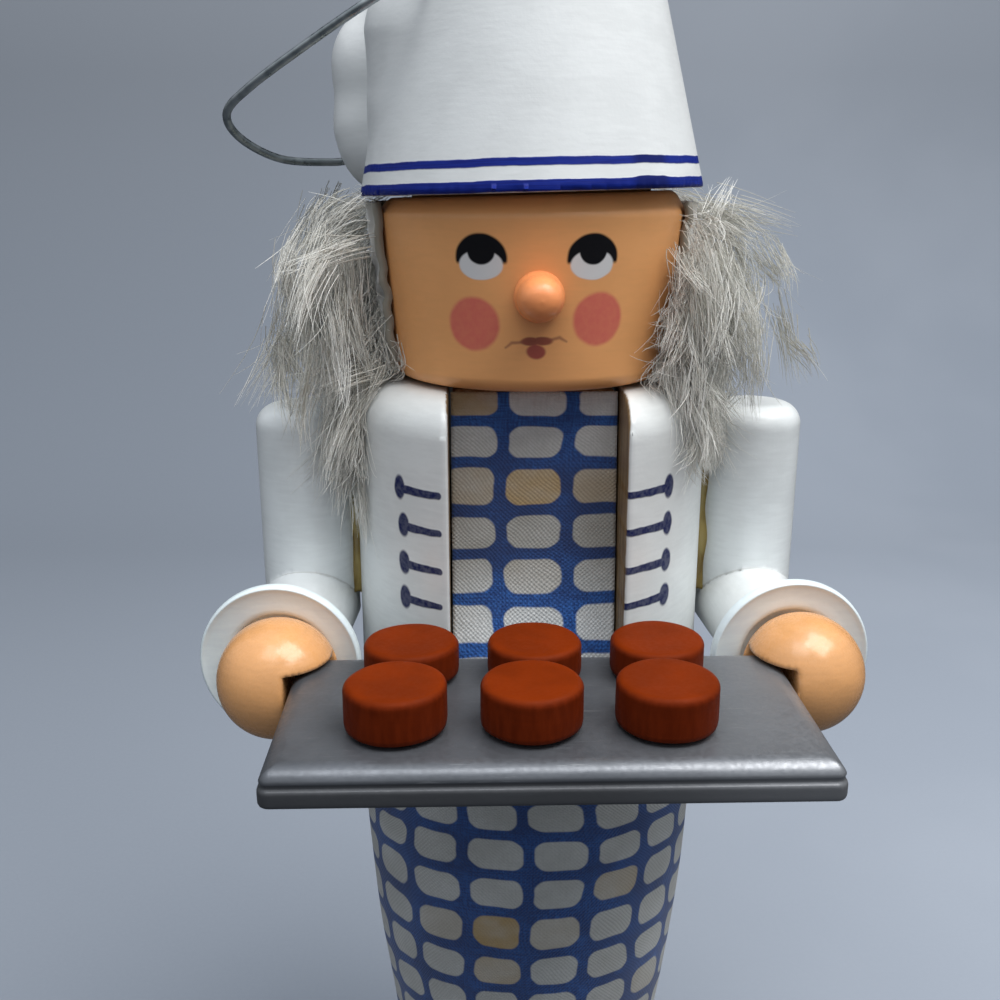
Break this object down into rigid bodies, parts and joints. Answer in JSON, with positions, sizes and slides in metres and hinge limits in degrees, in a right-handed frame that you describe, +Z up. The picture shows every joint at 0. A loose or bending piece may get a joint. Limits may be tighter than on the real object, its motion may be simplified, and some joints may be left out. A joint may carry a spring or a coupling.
{
  "type": "nutcracker christmas ornament",
  "caption": "Turned wooden baker nutcracker ornament with drooping hat, fur hair, a jaw lever, a tray of cakes and a swinging wire hanger.",
  "frame": {"origin": "on the surface the shoes stand on, under the middle of the bounding box", "axes": "+Z up, -Y the way the figure faces, +X to the viewer's right"},
  "size_m": [0.06, 0.0598, 0.1369],
  "materials": {
    "white_paint": "satin white paint on turned wood",
    "skin_paint": "satin flesh paint on turned wood",
    "nose_paint": "satin orange paint",
    "hand_paint": "gloss flesh paint",
    "grey_paint": "satin silver-grey paint",
    "cake_paint": "satin red-brown stain",
    "shoe_paint": "gloss black paint",
    "bare_wood": "bare wood",
    "printed_cloth": "cotton printed with a blue grid",
    "grey_fur": "grey fur",
    "steel_wire": "drawn steel wire"
  },
  "bodies": {
    "figure": {"body": "white_paint", "apron_skirt": "printed_cloth", "lever_pin": "steel_wire", "head": "skin_paint", "nose": "nose_paint", "hat": "white_paint", "eye_screw": "steel_wire", "upper_arm_left": "white_paint", "upper_arm_right": "white_paint", "forearm_left": "white_paint", "forearm_right": "white_paint", "cuff_left": "white_paint", "cuff_right": "white_paint", "hand_left": "hand_paint", "hand_right": "hand_paint", "tray": "grey_paint", "cake_1": "cake_paint", "cake_2": "cake_paint", "cake_3": "cake_paint", "cake_4": "cake_paint", "cake_5": "cake_paint", "cake_6": "cake_paint", "hair": "grey_fur", "shoe_left": "shoe_paint", "shoe_right": "shoe_paint", "head_dowel_left": "bare_wood", "head_dowel_right": "bare_wood", "shoulder_dowel_left": "bare_wood", "shoulder_dowel_right": "bare_wood", "elbow_dowel_left": "bare_wood", "elbow_dowel_right": "bare_wood", "hand_dowel_left": "bare_wood", "hand_dowel_right": "bare_wood", "shoe_dowel_left": "bare_wood", "shoe_dowel_right": "bare_wood"},
    "jaw": {"jaw_lever": "bare_wood", "bib": "printed_cloth"},
    "hanger": {"hanger_hook": "steel_wire"}
  },
  "joints": [
    {"name": "jaw_hinge", "type": "hinge", "parent": "figure", "child": "jaw", "pos_m": [0, 0.0083, 0.074], "axis": [1, 0, 0], "range_deg": [0, 18]},
    {"name": "hanger_swing", "type": "hinge", "parent": "figure", "child": "hanger", "pos_m": [0, 0.0073, 0.13472], "axis": [0, 1, 0], "range_deg": [0, 235]}
  ]
}
